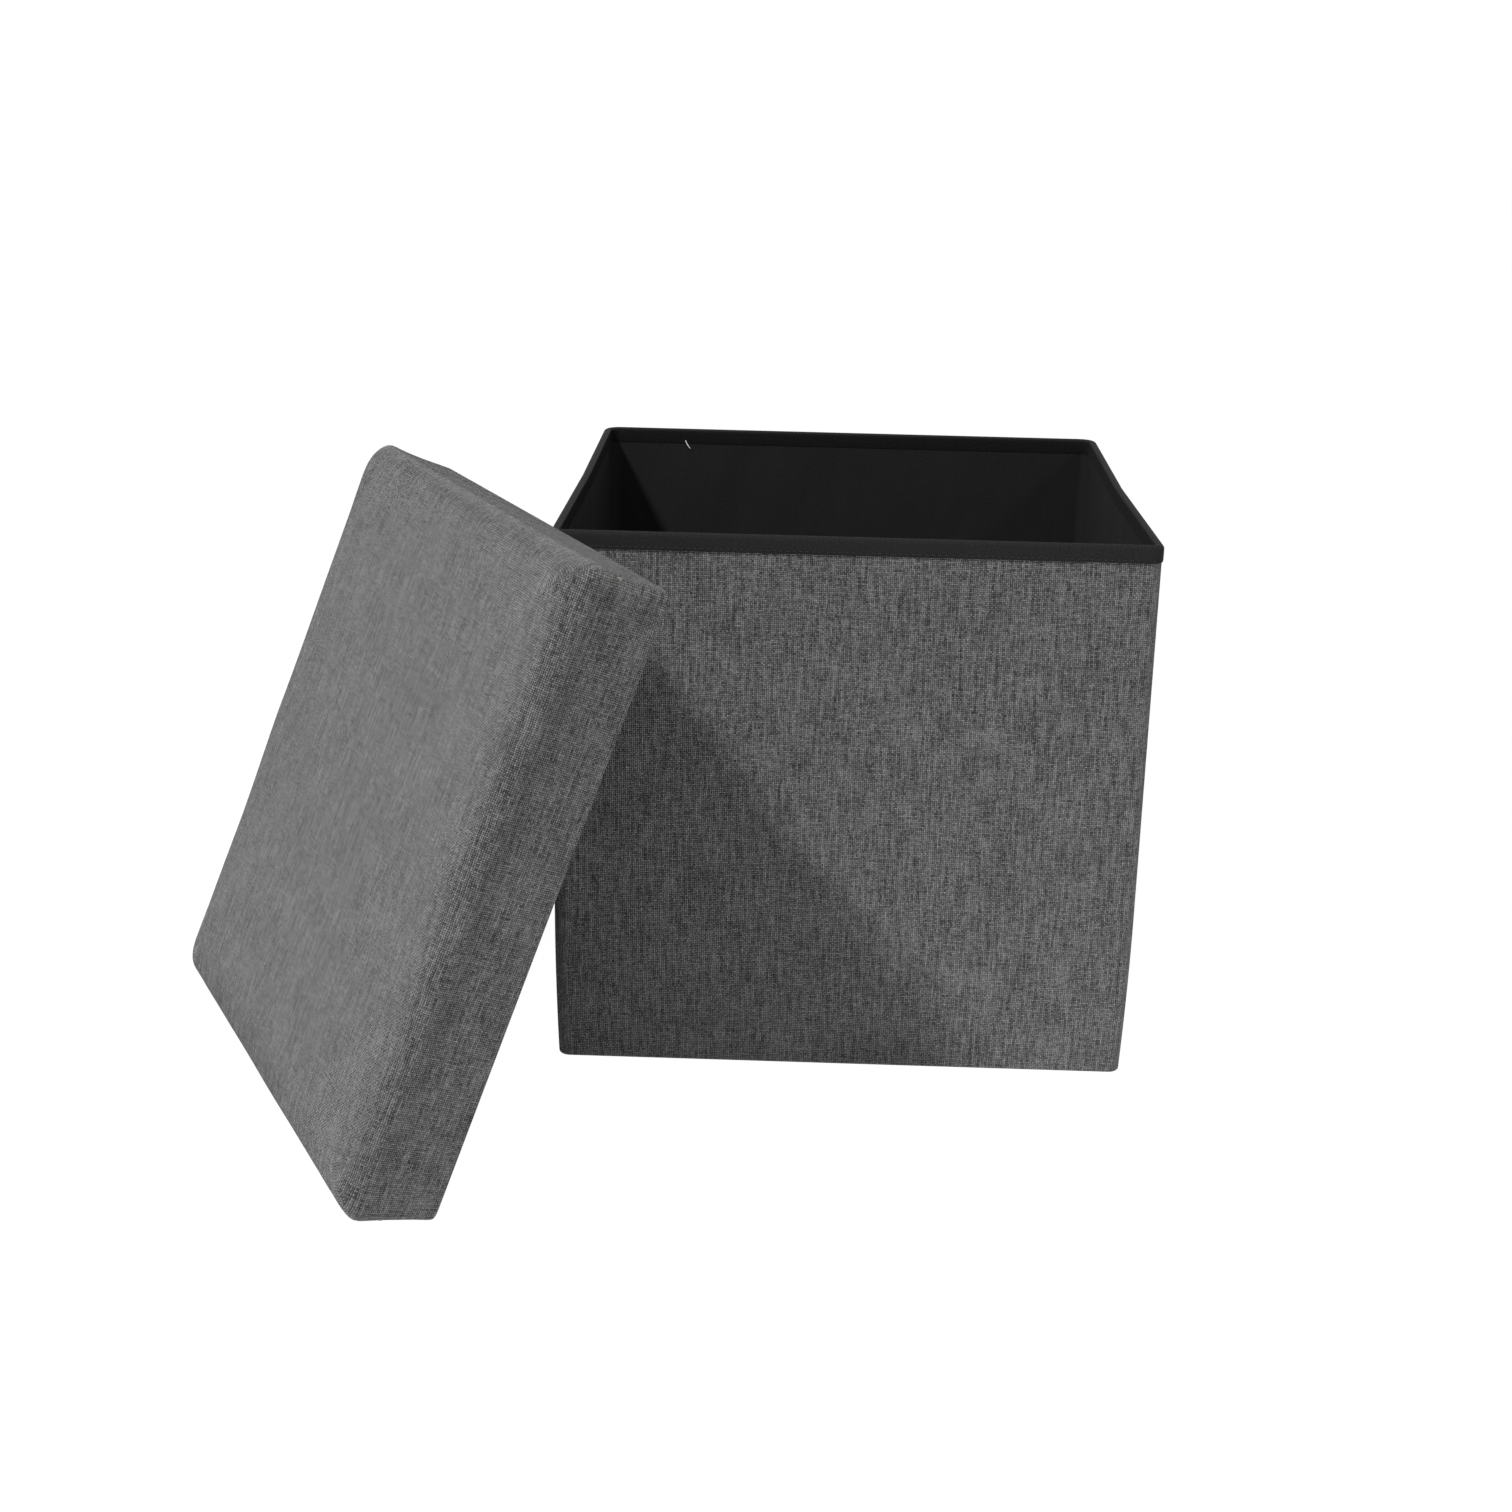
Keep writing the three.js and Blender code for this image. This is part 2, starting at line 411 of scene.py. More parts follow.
# %% [markdown]
# ## Black cloths
# The rim tape is a close twill, the lining a non-woven sheet pressed with a small dot pattern. Both are
# nearly black, so their form shows mostly in the way the light grazes them, and a fine bump matters more
# than colour. Board, foam and thread are mostly hidden and need only a mottled colour with a fine grain.

# %% Tape, lining, thread, board and foam
twill_pitch = 0.7 * MM
dot_pitch = 1.6 * MM


def tape_material(name, dark, light, sheen):
    """Slanted twill ridges under a fuzz of fibres."""
    material, nodes = new_material(name, 0.9)
    nodes.shader.inputs["Specular IOR Level"].default_value = 4 * sheen
    across, up = cloth_axes(nodes, twill_pitch)
    twill = nodes.math("SINE", nodes.math("MULTIPLY", nodes.math("ADD", across, up), math.pi))
    fuzz = nodes.noise(nodes.vector(across, up), 0.6, 3.0)
    value = nodes.math("MULTIPLY_ADD", twill, 0.12, fuzz)
    nodes.put(nodes.shader.inputs["Base Color"], nodes.ramp(value, [(0.3, dark), (0.75, light)]))
    nodes.put(nodes.shader.inputs["Normal"], nodes.bump(value, 0.25 * MM, 0.7))
    nodes.shader.inputs["Sheen Weight"].default_value = sheen
    return material


def lining_material():
    """Pressed dots in staggered rows, loose fibres, and the slow rumples of a slack cloth."""
    material, nodes = new_material("lining_cloth", 0.85)
    nodes.shader.inputs["Specular IOR Level"].default_value = 0.16
    across, up = cloth_axes(nodes, dot_pitch)
    half_row = nodes.math("MULTIPLY", nodes.math("MODULO", nodes.math("FLOOR", up), 2.0), 0.5)
    dot_x = nodes.math("SINE", nodes.math("MULTIPLY", nodes.math("ADD", across, half_row), math.pi))
    dot_y = nodes.math("SINE", nodes.math("MULTIPLY", up, math.pi))
    dots = nodes.math("ABSOLUTE", nodes.math("MULTIPLY", dot_x, dot_y))
    fibres = nodes.noise(nodes.vector(across, up), 0.9, 4.0)
    rumple = nodes.noise(nodes.vector(across, nodes.math("MULTIPLY", up, 0.35)), 0.035, 2.0)
    value = nodes.math("MULTIPLY_ADD", fibres, 0.6, nodes.math("MULTIPLY", dots, 0.4))
    nodes.put(nodes.shader.inputs["Base Color"], nodes.ramp(value, [(0.2, 0.003), (0.8, 0.011)]))
    fine = nodes.bump(value, 0.15 * MM, 0.5)
    nodes.put(nodes.shader.inputs["Normal"], nodes.bump(rumple, 6 * MM, 0.6, fine))
    return material


def solid_material(name, dark, light, roughness, scale, depth):
    """Board, foam and thread: a mottled colour with a fine grain, read from Object coordinates."""
    material, nodes = new_material(name, roughness)
    coords = nodes.tree.nodes.new("ShaderNodeTexCoord").outputs["Object"]
    grain = nodes.noise(coords, scale, 4.0, 0.6)
    nodes.put(nodes.shader.inputs["Base Color"], nodes.ramp(grain, [(0.3, dark), (0.7, light)]))
    nodes.put(nodes.shader.inputs["Normal"], nodes.bump(grain, depth))
    return material


tape = tape_material("binding_tape", 0.0045, 0.0125, 0.03)
# A darker copy of the tape with less sheen: painted shade for the tape's inner leg inside the box.
tape_painted_shade = tape_material("binding_tape_painted_shade", 0.0035, 0.010, 0.008)
lining = lining_material()
board = solid_material("grey_board", (0.16, 0.145, 0.125), (0.27, 0.245, 0.21), 0.9, 900, 0.1 * MM)
foam = solid_material("foam", (0.62, 0.56, 0.4), (0.78, 0.72, 0.55), 0.95, 1500, 0.3 * MM)
black_thread = solid_material("black_thread", 0.004, 0.011, 0.6, 3000, 0.05 * MM)
white_thread = solid_material("white_thread", 0.6, 0.8, 0.7, 3000, 0.05 * MM)
print("materials", len(bpy.data.materials))

# %% [markdown]
# ## The walls
# Cover cloth, board, lining and rim tape of each wall are four pieces on the wall's own body. Between
# bodies, at the box's corners and at the side walls' creases, lie short strips of the same cloth, because
# on the real ottoman the cloth is the hinge. One box with its edges bevelled would look alike at rest, but
# it couldn't fold.

# %% Sections of the wall's layers
def sheet_section(near, thickness, low, high, step=facet):
    """Outline of an upright sheet, as (depth, height) points: up the outer face and down the inner."""
    count = max(1, round((high - low) / step))
    levels = [low + (high - low) * i / count for i in range(count + 1)]
    return [(near, z) for z in levels] + [(near + thickness, z) for z in reversed(levels)]


cover_high = rim - 1.2 * MM
inner_share = 0.82


def tape_section():
    """The rim tape: folded over the wall's top, round at its shoulders, its legs lying on the cloths."""
    out, crown = 0.95 * MM, 3.1 * MM
    low = rim - tape_drop
    points = [(-0.1 * MM, low), (-out * 0.8, low + 0.3 * MM)]
    points += [(-out, low + 1.6 * MM), (-out, rim - 8 * MM)]
    for i in range(6):
        angle = math.pi / 2 * i / 5
        points.append((-out + crown - crown * math.cos(angle), rim - crown + crown * math.sin(angle)))
    middle = wall / 2
    inner = [(middle + (middle - depth) * inner_share, height) for depth, height in reversed(points)]
    lower = [(wall - 0.35 * MM, low + 2 * MM), (wall - 0.35 * MM, cover_high)]
    return points + inner + lower + [(0.02 * MM, cover_high), (0.02 * MM, low + 2 * MM)]


cover_section = sheet_section(0, cover_thickness, hem_top, cover_high)
lining_section = sheet_section(wall - lining_thickness, lining_thickness, wall_foot, cover_high)
LAYERS = {
    "cover": (cover_section, linen, "linen", "fabric"),
    "lining": (lining_section, lining, "lining", "lining"),
    "tape": (tape_section(), tape, "binding", "binding"),
}
RIPPLE = {"cover": 0.45 * MM, "lining": 0.8 * MM}
front_end = half - corner_radius["front"]
back_end = half - corner_radius["back"]
PANELS = {
    "front": (0, -front_end, front_end, "front_wall"),
    "back": (2, -back_end, back_end, "back_wall"),
    "right_front": (1, -front_end, crease - crease_reach, "right_front_wall"),
    "right_rear": (1, crease + crease_reach, back_end, "right_rear_wall"),
    "left_rear": (3, -back_end, -crease - crease_reach, "left_rear_wall"),
    "left_front": (3, -crease + crease_reach, front_end, "left_front_wall"),
}


# %% Panels
def ripple(bm, amount, start, end):
    """Cloth is never dead flat: a slow, small in-and-out that dies away at the panel's edges."""
    for vert in bm.verts:
        x, y, z = vert.co
        edge = smooth((x - start) / 0.03) * smooth((end - x) / 0.03)
        edge *= smooth((z - 0.004) / 0.02) * smooth((rim - 0.016 - z) / 0.02)
        wave = noise.noise(Vector((x * 14 + start * 40, y * 3, z * 9)))
        vert.co.y += amount * edge * wave


def wall_piece(panel, layer):
    quarter, start, end, body = PANELS[panel]
    points, material, slot, node = LAYERS[layer]
    bm = sweep_straight(points, start, end, facet)
    write_cloth_uv(bm, quarter)
    if layer in RIPPLE:
        ripple(bm, RIPPLE[layer], start, end)
    piece = make_piece(bm, f"{panel}_wall_{layer}", material, wall_matrix(quarter), settle)
    soften(piece)
    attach(piece, body)
    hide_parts(f"{panel}_{node}")


for panel in PANELS:
    for layer in LAYERS:
        wall_piece(panel, layer)
print("wall pieces", len(PANELS) * len(LAYERS))

# %% [markdown]
# The boards are hidden in the walls, but they lean with them, so they are made again here from the CAD
# boards' own sizes.


# %% Boards
def wall_board(panel):
    quarter, first, last, body = PANELS[panel]
    low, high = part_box(f"{panel}_board")
    back = wall_matrix(quarter).inverted()
    ends = [back @ Vector(low), back @ Vector(high)]
    start, end = sorted(p.x for p in ends)
    start = max(start, first)
    if panel != "right_front":
        end = min(end, last)
    near, far = sorted(p.y for p in ends)
    points = sheet_section(near, far - near, low[2], high[2], 2 * facet)
    bm = sweep_straight(points, start, end, 2 * facet)
    piece = make_piece(bm, f"{panel}_wall_stiffener", board, wall_matrix(quarter), settle)
    soften(piece)
    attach(piece, body)
    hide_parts(f"{panel}_board")


for panel in PANELS:
    wall_board(panel)

# %% [markdown]
# Each corner strip spins the wall's own section a quarter turn. The strip on the front right corner rides
# on the front wall, where the walls' loop is open. The others stay in the object's frame, on no wall's
# body.

# %% Corner strips
CORNERS = {
    "front_right": (0, "front_wall", None),
    "back_right": (1, "right_rear_wall", "back_wall"),
    "back_left": (2, "back_wall", "left_rear_wall"),
    "front_left": (3, "left_front_wall", "front_wall"),
}


def corner_piece(corner, layer):
    quarter, first, second = CORNERS[corner]
    points, material, slot, _ = LAYERS[layer]
    bm = sweep_corner(points, quarter)
    write_cloth_uv(bm, quarter)
    piece = make_piece(bm, f"{corner}_corner_{layer}", material, wall_matrix(quarter), settle)
    soften(piece)
    if second is None:
        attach(piece, first)
        return
    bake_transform(piece)


for corner in CORNERS:
    for layer in LAYERS:
        corner_piece(corner, layer)
print("corner strips", len(CORNERS) * len(LAYERS))

# %% [markdown]
# A side wall's crease is a narrow strip of cloth with no board behind it. The cloth stands out along it
# by half a millimetre, as a pressed fold does, and the strip stays in the object's frame, on no wall's
# body.

# %% Crease strips
CREASES = {
    "right": (1, crease, "right_front_wall", "right_rear_wall"),
    "left": (3, -crease, "left_rear_wall", "left_front_wall"),
}
CREASE_PINCH = {"cover": 0.5 * MM, "lining": -0.5 * MM, "tape": 0}
pinch_reach = 4 * MM


def crease_piece(side, layer):
    quarter, middle, first, second = CREASES[side]
    points, material, slot, _ = LAYERS[layer]
    start, end = middle - crease_reach, middle + crease_reach
    bm = sweep_straight(points, start, end, 1.5 * MM)
    write_cloth_uv(bm, quarter)
    for vert in bm.verts:
        pinch = math.cos(math.pi / 2 * min(abs(vert.co.x - middle) / pinch_reach, 1)) ** 2
        vert.co.y += CREASE_PINCH[layer] * pinch
    place = wall_matrix(quarter)
    piece = make_piece(bm, f"{side}_crease_{layer}", material, place, settle)
    soften(piece)
    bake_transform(piece)


for side in CREASES:
    for layer in LAYERS:
        crease_piece(side, layer)
print("crease strips", len(CREASES) * len(LAYERS))

# %% [markdown]
# ## Stitching
# A row of black lockstitches holds the tape on each side of the wall. One stitch is a small stretched
# sphere, and the row is that stitch repeated, which keeps it light. No sewn row is quite straight, so
# each stitch is moved up or down a little at random.

# %% Stitch rows
stitch_length = 3.0 * MM
stitch_pitch = 4.1 * MM
stitch_height = rim - tape_drop + 2 * MM
stitch_stray = 0.15


def stitch_rows(panel):
    quarter, start, end, body = PANELS[panel]
    bm = bmesh.new()
    for depth in (-1.0 * MM, wall + 0.22 * MM):
        place = start + stitch_pitch
        while place < end - stitch_pitch:
            height = stitch_height + random.uniform(-stitch_stray, stitch_stray) * MM
            matrix = Matrix.Translation((place, depth, height))
            matrix = matrix @ Matrix.Diagonal((stitch_length / 2, 0.18 * MM, 0.34 * MM, 1))
            bmesh.ops.create_uvsphere(bm, u_segments=6, v_segments=4, radius=1, matrix=matrix)
            place += stitch_pitch
    piece = make_piece(bm, f"{panel}_stitching", black_thread, wall_matrix(quarter), settle)
    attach(piece, body)


for panel in PANELS:
    stitch_rows(panel)
print("stitch rows", 2 * len(PANELS))

# %% [markdown]
# A short white thread end hangs from the stitching inside the back wall. It is a small disk, extruded six
# times with a growing sideways step, so it curves.


# %% A loose thread end
def loose_thread():
    bm = bmesh.new()
    made = bmesh.ops.create_circle(bm, cap_ends=True, radius=0.35 * MM, segments=8)
    top = Vector((-0.1275, half - wall - 0.9 * MM, rim - 8.5 * MM))
    bmesh.ops.transform(bm, matrix=Matrix.Translation(top), verts=made["verts"])
    faces = bm.faces[:]
    for i in range(6):
        made = bmesh.ops.extrude_discrete_faces(bm, faces=faces)
        faces = made["faces"]
        verts = [v for f in faces for v in f.verts]
        bmesh.ops.translate(bm, vec=((0.35 + 0.12 * i) * MM, -0.05 * MM, -1.1 * MM), verts=verts)
    bmesh.ops.recalc_face_normals(bm, faces=bm.faces[:])
    piece = make_piece(bm, "loose_thread_end", white_thread)
    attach(piece, "back_wall")


loose_thread()

# %% [markdown]
# ## The base
# Under the box lies a cloth whose edges turn up into the hem. On it lies the loose base panel: a board
# with black cloth on top. The base cloth rides on the back wall's body.


# %% Base cloth and panel
def hem_section():
    """The turned-up edge of the base cloth, flush with the walls' cover."""
    top = hem_top - 0.05 * MM
    outer = [(0.5 * MM, 0.1 * MM), (0.1 * MM, 0.6 * MM), (0, 1.4 * MM), (0, top)]
    inner = [(0.8 * MM, top), (0.8 * MM, 1.2 * MM), (1.6 * MM, 0.9 * MM), (1.6 * MM, 0.1 * MM)]
    return outer + inner


def base_sheet():
    """The level part of the base cloth, with the box's round corners."""
    sheet = bmesh.new()
    bmesh.ops.create_grid(sheet, x_segments=24, y_segments=24, size=half - 2 * MM)
    for vert in sheet.verts:
        radius = corner_radius["back" if vert.co.y > 0 else "front"]
        core = half - radius
        dx, dy = max(abs(vert.co.x) - core, 0), max(abs(vert.co.y) - core, 0)
        shrink = min(1, (radius - 2 * MM) / max(math.hypot(dx, dy), 1e-6))
        if dx > 0 and dy > 0 and shrink < 1:
            vert.co.x = math.copysign(core + dx * shrink, vert.co.x)
            vert.co.y = math.copysign(core + dy * shrink, vert.co.y)
    bmesh.ops.translate(sheet, vec=(0, 0, 0.15 * MM), verts=sheet.verts)
    thicken_up(sheet, 0.7 * MM)
    write_flat_uv(sheet)
    return sheet


def base_cloth():
    bm = bmesh.new()
    for quarter in range(4):
        before, straight = corner_of((quarter + 3) % 4)[1], corner_of(quarter)[1]
        run = sweep_straight(hem_section(), -before, straight, facet)
        for part in (run, sweep_corner(hem_section(), quarter)):
            write_cloth_uv(part, quarter)
            part.transform(wall_matrix(quarter))
            join(bm, part)
    join(bm, base_sheet())
    piece = make_piece(bm, "base_cloth_hem", linen, None, settle)
    soften(piece)
    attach(piece, "back_wall")
    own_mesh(piece)
    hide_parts("base_cloth")


panel_play = 1.9 * MM


def base_panel_layer(node, name, material):
    """One flat layer of the base panel, with round corners and a soft edge."""
    low, high = (Vector(p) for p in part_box(node))
    centre, size = (low + high) / 2, high - low
    size.x -= 2 * panel_play
    bm = bmesh.new()
    bmesh.ops.create_cube(bm, size=1, matrix=Matrix.Translation(centre) @ Matrix.Diagonal((*size, 1)))
    upright = [e for e in bm.edges if abs(e.verts[0].co.z - e.verts[1].co.z) > 1e-5]
    round_edges(bm, upright, 6 * MM, 5)
    rim_edges = [e for e in bm.edges if e.verts[0].co.z > centre.z and e.verts[1].co.z > centre.z]
    round_edges(bm, rim_edges, 0.25 * MM, 2)
    write_flat_uv(bm)
    piece = make_piece(bm, name, material)
    soften(piece)
    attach(piece, "base_panel")
    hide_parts(node)


base_cloth()
base_panel_layer("base_board_cover", "base_panel_cloth", lining)
base_panel_layer("base_board", "base_panel_stiffener", board)
print("base pieces", 3)

# %% [markdown]
# ## The lid
# The lid is a tray upside down: a padded top and a skirt that slips over the box's rim. Its cover is one
# cloth. It is lofted as rounded squares, over the crown to a shoulder where the pad meets the skirt, down
# the drawn-in side, and round the rim. It is built level, round its own middle, then leant in place with
# one matrix taken from the CAD lid board.

# %% The lid's own frame and outline
lid_turn = math.radians(27.17)
lid_lean = math.radians(22.05)
lid_half = 200 * MM
rim_inset = 5.5 * MM
crown_radius = 30 * MM
crown_end = math.radians(64)
pad_top = 63.6 * MM
shoulder_half = lid_half - crown_radius * (1 - math.sin(crown_end))
shoulder_height = pad_top - crown_radius * (1 - math.cos(crown_end))
skirt_corner = 4 * MM
lid_board_middle = 32.5 * MM
bend_in = 5.5 * MM
sag = 0.8 * MM


def lid_matrix():
    """From the lid's own frame (near side, up along the lid, out of the pad) to the object's."""
    toward_box = Vector((math.cos(lid_turn), math.sin(lid_turn), 0))
    near = Vector((math.sin(lid_turn), -math.cos(lid_turn), 0))
    up = Vector((0, 0, 1)) * math.cos(lid_lean) + toward_box * math.sin(lid_lean)
    out = near.cross(up)
    low, high = (Vector(p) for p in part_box("lid_board"))
    origin = (low + high) / 2 - out * lid_board_middle
    matrix = Matrix.Identity(4)
    for column, axis in enumerate((near, up, out, origin)):
        for row in range(3):
            matrix[row][column] = axis[row]
    return matrix


lid_place = lid_matrix()
print("lid middle", [round(c, 4) for c in lid_place.translation])


def lid_profile():
    """The cover's section outwards from the flat top: (half width, height, plan corner radius)."""
    profile = []
    crown_steps, side_steps = 9, 8
    for i in range(1, crown_steps + 1):
        angle = crown_end * i / crown_steps
        width = lid_half - crown_radius + crown_radius * math.sin(angle)
        height = pad_top - crown_radius + crown_radius * math.cos(angle)
        profile.append((width, height, (12 - 5 * i / crown_steps) * MM))
    edge = lid_half - rim_inset
    for i in range(1, side_steps + 1):
        down = i / side_steps
        width = edge + (shoulder_half - edge) * (1 - down) ** 3
        height = shoulder_height * (1 - down) + 1.8 * MM * down
        profile.append((width, height, (7 - 3 * down) * MM))
    hem = ((0.3, 0.9), (0.9, 0.2), (1.6, 0.1), (2.3, 0.6), (2.8, 2.0), (2.9, 7.0), (2.9, 12.0))
    for turned_in, height in hem:
        profile.append((edge - turned_in * MM, height * MM, skirt_corner - turned_in * MM))
    return profile


def rounded_square(x, y, width, radius):
    """Maps a point of the square from -1 to 1 onto a square of that half width with round corners."""
    px, py = x * width, y * width
    core = width - radius
    dx, dy = max(abs(px) - core, 0), max(abs(py) - core, 0)
    if dx > 0 and dy > 0:
        shrink = max(dx, dy) / math.hypot(dx, dy)
        px = math.copysign(core + dx * shrink, px)
        py = math.copysign(core + dy * shrink, py)
    return px, py


def lid_settle(point):
    """The pad sags a little where it stands on the floor, and its weight bends the lower skirt in."""
    x, y, z = point
    low = smooth((-y - 0.13) / 0.065)
    near_corner = smooth((x - 0.09) / 0.08)
    skirt = min(max((40 * MM - z) / (40 * MM), 0.0), 1.0)
    y += low * (bend_in * near_corner * skirt - sag)
    return Vector((x, y, z))


print("lid rings", len(lid_profile()))

# %% [markdown]
# A pad's cloth is pulled tight over soft foam, so its top is slightly crowned and its edges are full.
# That shape comes from a cloth simulation: the skirt is pinned to its boards, the air pressure inside
# stands for the foam, and the movement is capped, because the foam doesn't let the cloth go further.
# Sculpting the fullness by hand would work too, but it seldom looks as even as cloth under tension.

# %% Cover cloth, before it is tightened
grid_cells = 72
held_below = 28 * MM


def lid_cover_mesh():
    """The loft, and which vertices the boards hold. A vertex's z is its ring's number until the end."""
    profile = lid_profile()
    bm = bmesh.new()
    bmesh.ops.create_grid(bm, x_segments=grid_cells, y_segments=grid_cells, size=1)
    edges = [e for e in bm.edges if len(e.link_faces) == 1]
    for level in range(1, len(profile) + 1):
        made = bmesh.ops.extrude_edge_only(bm, edges=edges)["geom"]
        verts = [g for g in made if isinstance(g, bmesh.types.BMVert)]
        inside = set(verts)
        edges = [g for g in made if isinstance(g, bmesh.types.BMEdge) and inside.issuperset(g.verts)]
        for vert in verts:
            vert.co.z = level
    flat = (lid_half - crown_radius, pad_top, 12 * MM)
    rows = [flat] + profile
    length = [0.0]
    for (w0, h0, _), (w1, h1, _) in zip(rows, rows[1:]):
        length.append(length[-1] + math.hypot(w1 - w0, h1 - h0))
    layer = bm.loops.layers.uv.new("cloth")
    for face in bm.faces:
        middle = face.calc_center_median()
        for loop in face.loops:
            x, y, level = loop.vert.co
            width, _, radius = rows[int(round(level))]
            px, py = rounded_square(x, y, width, radius)
            out = flat[0] + length[int(round(level))]
            if level > 0.5 and abs(middle.x) >= abs(middle.y):
                px = math.copysign(out, middle.x)
            elif level > 0.5:
                py = math.copysign(out, middle.y)
            loop[layer].uv = (px + 1.3, py + 0.7)
    pinned = []
    for vert in bm.verts:
        level = int(round(vert.co.z))
        width, height, radius = rows[level]
        px, py = rounded_square(vert.co.x, vert.co.y, width, radius)
        if height < held_below:
            pinned.append(vert.index)
        vert.co = (px, py, height)
    bm.verts.index_update()
    bmesh.ops.recalc_face_normals(bm, faces=bm.faces[:])
    if max(bm.faces, key=lambda f: f.calc_area()).normal.z < 0:
        bmesh.ops.reverse_faces(bm, faces=bm.faces[:])
    return bm, pinned


cloth_frames = 20
foam_hold = 0.9
foam_pressure = 1.6
cloth_cap = 3.2 * MM


def tighten(bm, pinned, cap):
    """Cloth simulation with pressure, the movement limited softly to the cap."""
    mesh = bpy.data.meshes.new("cover_trial")
    bm.to_mesh(mesh)
    trial = bpy.data.objects.new("cover_trial", mesh)
    scene.collection.objects.link(trial)
    group = trial.vertex_groups.new(name="held")
    group.add(pinned, 1.0, "REPLACE")
    cloth = trial.modifiers.new("cloth", "CLOTH")
    cloth.settings.vertex_group_mass = "held"
    cloth.settings.use_pressure = True
    cloth.settings.uniform_pressure_force = foam_pressure
    cloth.settings.effector_weights.gravity = 0
    cloth.settings.quality = 6
    cloth.settings.mass = 0.4
    cloth.settings.tension_stiffness = 30
    cloth.settings.compression_stiffness = 30
    cloth.settings.shear_stiffness = 12
    cloth.settings.bending_stiffness = 2
    for number in range(1, cloth_frames + 1):
        scene.frame_set(number)
    moved = trial.evaluated_get(bpy.context.evaluated_depsgraph_get()).data
    biggest = 0.0
    bm.verts.ensure_lookup_table()
    bm.normal_update()
    for vert, new in zip(bm.verts, moved.vertices):
        step = new.co - vert.co
        inwards = min(step.dot(vert.normal), 0.0)
        step -= vert.normal * inwards * foam_hold
        biggest = max(biggest, step.length)
        if step.length > 1e-9:
            vert.co += step * (cap * math.tanh(step.length / cap) / step.length)
    scene.frame_set(1)
    bpy.data.objects.remove(trial)
    bpy.data.meshes.remove(mesh)
    print("cloth moved at most", round(biggest * 1000, 2), "mm before the cap")


def dress(bm):
    """After the simulation: slow unevenness of the foam, and the pinch of the four corner seams."""
    for vert in bm.verts:
        x, y, z = vert.co
        on_top = smooth((z - 25 * MM) / (25 * MM))
        vert.co.z += on_top * 1.1 * MM * noise.noise(Vector((x * 11, y * 11, 2.7)))
        corner = math.hypot(abs(x) - lid_half, abs(y) - lid_half)
        fold = noise.noise(Vector((x * 60, y * 60, z * 20)))
        near = smooth(1 - corner / 0.07)
        push = 0.9 * MM * near * fold * smooth((z - 8 * MM) / (14 * MM))
        vert.co += Vector((x, y, 0)).normalized() * push


def lid_cover():
    bm, pinned = lid_cover_mesh()
    tighten(bm, pinned, cloth_cap)
    dress(bm)
    heights = [v.co.z for v in bm.verts if max(abs(v.co.x), abs(v.co.y)) < lid_half - crown_radius]
    print("pad height", round(min(heights) * 1000, 1), "to", round(max(heights) * 1000, 1), "mm")
    for vert in bm.verts:
        vert.co = lid_settle(vert.co)
    piece = make_piece(bm, "lid_cover_cloth", linen, lid_place)
    piece.modifiers.new("thickness", "SOLIDIFY").thickness = 0.7 * MM
    piece.modifiers["thickness"].offset = -1
    smoothing = piece.modifiers.new("smooth", "SUBSURF")
    smoothing.levels = smoothing.render_levels = 1
    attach(piece, "lid")
    skirts = [f"lid_skirt_fabric_{side}" for side in ("lower", "upper", "near", "far")]
    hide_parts("lid_cover", *skirts)


lid_cover()

# %% [markdown]
# Inside the cover are the foam pad, four upright boards that stiffen the skirt, and black linings. They
# show only from below, or where the lid stands open, so each is a bevelled or gently bent slab.


# %% Foam, skirt boards and lining
def lid_foam():
    bm = bmesh.new()
    low, high = 34.5 * MM, 54 * MM
    size = 2 * (lid_half - 9 * MM)
    matrix = Matrix.Translation((0, 0, (low + high) / 2)) @ Matrix.Diagonal((size, size, high - low, 1))
    bmesh.ops.create_cube(bm, size=1, matrix=matrix)
    upright = [e for e in bm.edges if abs(e.verts[0].co.z - e.verts[1].co.z) > 1e-5]
    round_edges(bm, upright, 25 * MM, 6)
    crown = [e for e in bm.edges if min(v.co.z for v in e.verts) > high - 1e-5]
    round_edges(bm, crown, 19 * MM, 7)
    piece = make_piece(bm, "lid_foam_pad", foam, lid_place)
    soften(piece)
    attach(piece, "lid")
    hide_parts("lid_foam")


def skirt_strip(name, sides, near, far, low, high, reach, material, nodes):
    """Upright strips inside the skirt, one for each side given as a quarter turn."""
    bm = bmesh.new()
    for quarter in sides:
        size = (2 * reach, far - near, high - low)
        centre = (0, -lid_half + (near + far) / 2, (low + high) / 2)
        turn = Matrix.Rotation(quarter * math.pi / 2, 4, "Z")
        place = turn @ Matrix.Translation(centre) @ Matrix.Diagonal((*size, 1))
        bmesh.ops.create_cube(bm, size=1, matrix=place)
    bmesh.ops.subdivide_edges(bm, edges=bm.edges[:], cuts=6, use_grid_fill=True)
    layer = bm.loops.layers.uv.new("cloth")
    for face in bm.faces:
        for loop in face.loops:
            x, y, z = loop.vert.co
            loop[layer].uv = (x + y, z)
    piece = make_piece(bm, name, material, None, lid_settle)
    piece.data.transform(lid_place)
    soften(piece)
    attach(piece, "lid")
    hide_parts(*nodes)


def underside_cloth():
    low = 30.1 * MM
    bm = bmesh.new()
    bmesh.ops.create_grid(bm, x_segments=60, y_segments=60, size=lid_half - 9.5 * MM)
    for vert in bm.verts:
        x, y, _ = vert.co
        vert.co.z = low + 0.35 * MM * noise.noise(Vector((x * 18, y * 18, 0)))
    thicken_up(bm, 0.4 * MM)
    write_flat_uv(bm)
    piece = make_piece(bm, "lid_underside_lining", lining, lid_place)
    soften(piece)
    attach(piece, "lid")
    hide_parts("lid_underside_cloth")


